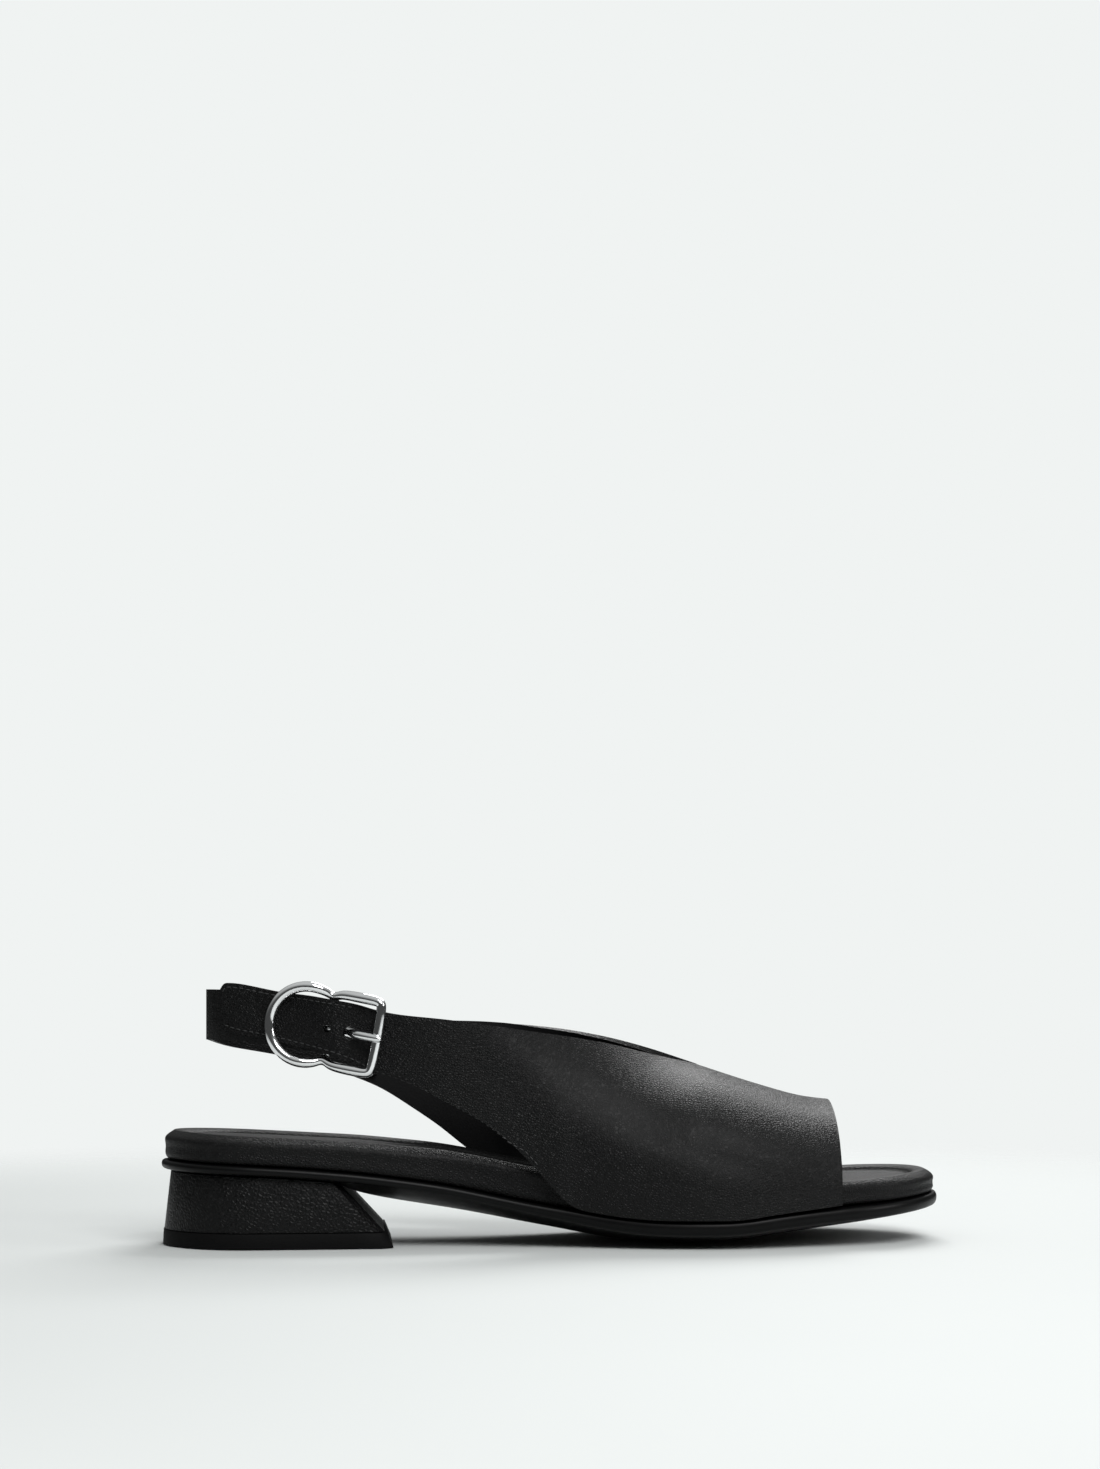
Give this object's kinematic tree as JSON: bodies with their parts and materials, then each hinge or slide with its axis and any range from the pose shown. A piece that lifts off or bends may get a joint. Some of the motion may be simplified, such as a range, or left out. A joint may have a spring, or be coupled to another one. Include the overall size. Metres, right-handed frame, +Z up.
{
  "type": "slingback sandal",
  "caption": "Black leather slingback sandal for the right foot: open toe, low wrapped block heel, buckled heel strap.",
  "frame": {"origin": "middle of the sole's length and width, on the floor", "axes": "+X towards the toe, +Y towards the inner (big toe) side, +Z up"},
  "size_m": [0.25, 0.0853, 0.082],
  "materials": {
    "upper_leather": "smooth black nappa with fine grain",
    "footbed_leather": "smooth black leather over padding",
    "insole_leather": "smooth black sock leather",
    "heel_leather": "grained black leather",
    "sole_edge": "satin black",
    "lift_rubber": "matt black",
    "polished_metal": "mirror polished"
  },
  "bodies": {
    "root": {"outsole": "sole_edge", "footbed": "footbed_leather", "insole": "insole_leather", "heel_block": "heel_leather", "top_lift": "lift_rubber", "upper": "upper_leather", "heel_strap": "upper_leather", "buckle_frame": "polished_metal", "buckle_prong": "polished_metal"}
  },
  "joints": []
}
